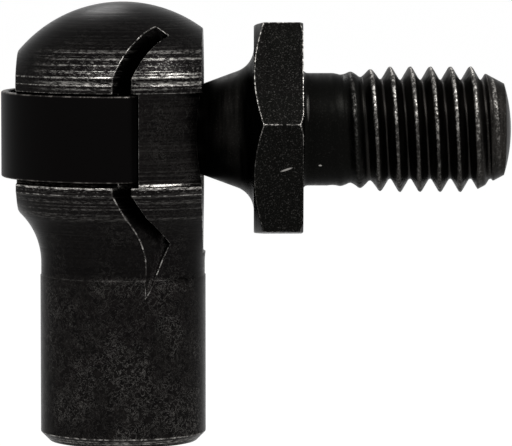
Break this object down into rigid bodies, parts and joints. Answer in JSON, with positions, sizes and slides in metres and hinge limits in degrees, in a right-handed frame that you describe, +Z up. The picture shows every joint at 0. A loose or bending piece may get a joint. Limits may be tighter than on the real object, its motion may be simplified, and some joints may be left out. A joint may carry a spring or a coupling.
{
  "type": "angle ball joint",
  "caption": "Right-angle ball joint: turned socket with threaded shank, ball stud with hexagon and threaded end, spring-steel safety clip.",
  "frame": {"origin": "centre of the threaded hole's mouth in the end face of the socket's shank", "axes": "+Z up the shank's axis to the ball, +X out along the ball stud, +Y completes a right-handed frame"},
  "size_m": [0.0317, 0.015, 0.0273],
  "materials": {
    "socket_steel": "free-cutting steel, turned, black oxide, worn bright on the edges",
    "clip_steel": "rolled spring-steel strip, smooth black oxide",
    "stud_steel": "turned and thread-rolled steel, black oxide, worn bright on crests and corners"
  },
  "bodies": {
    "stud": {"ball_stud": "stud_steel"},
    "socket": {"ball_socket": "socket_steel", "safety_clip": "clip_steel"}
  },
  "joints": [
    {"name": "socket_swing", "type": "hinge", "parent": "stud", "child": "socket", "pos_m": [0, 0, 0.0194], "axis": [1, 0, 0], "continuous": true}
  ]
}
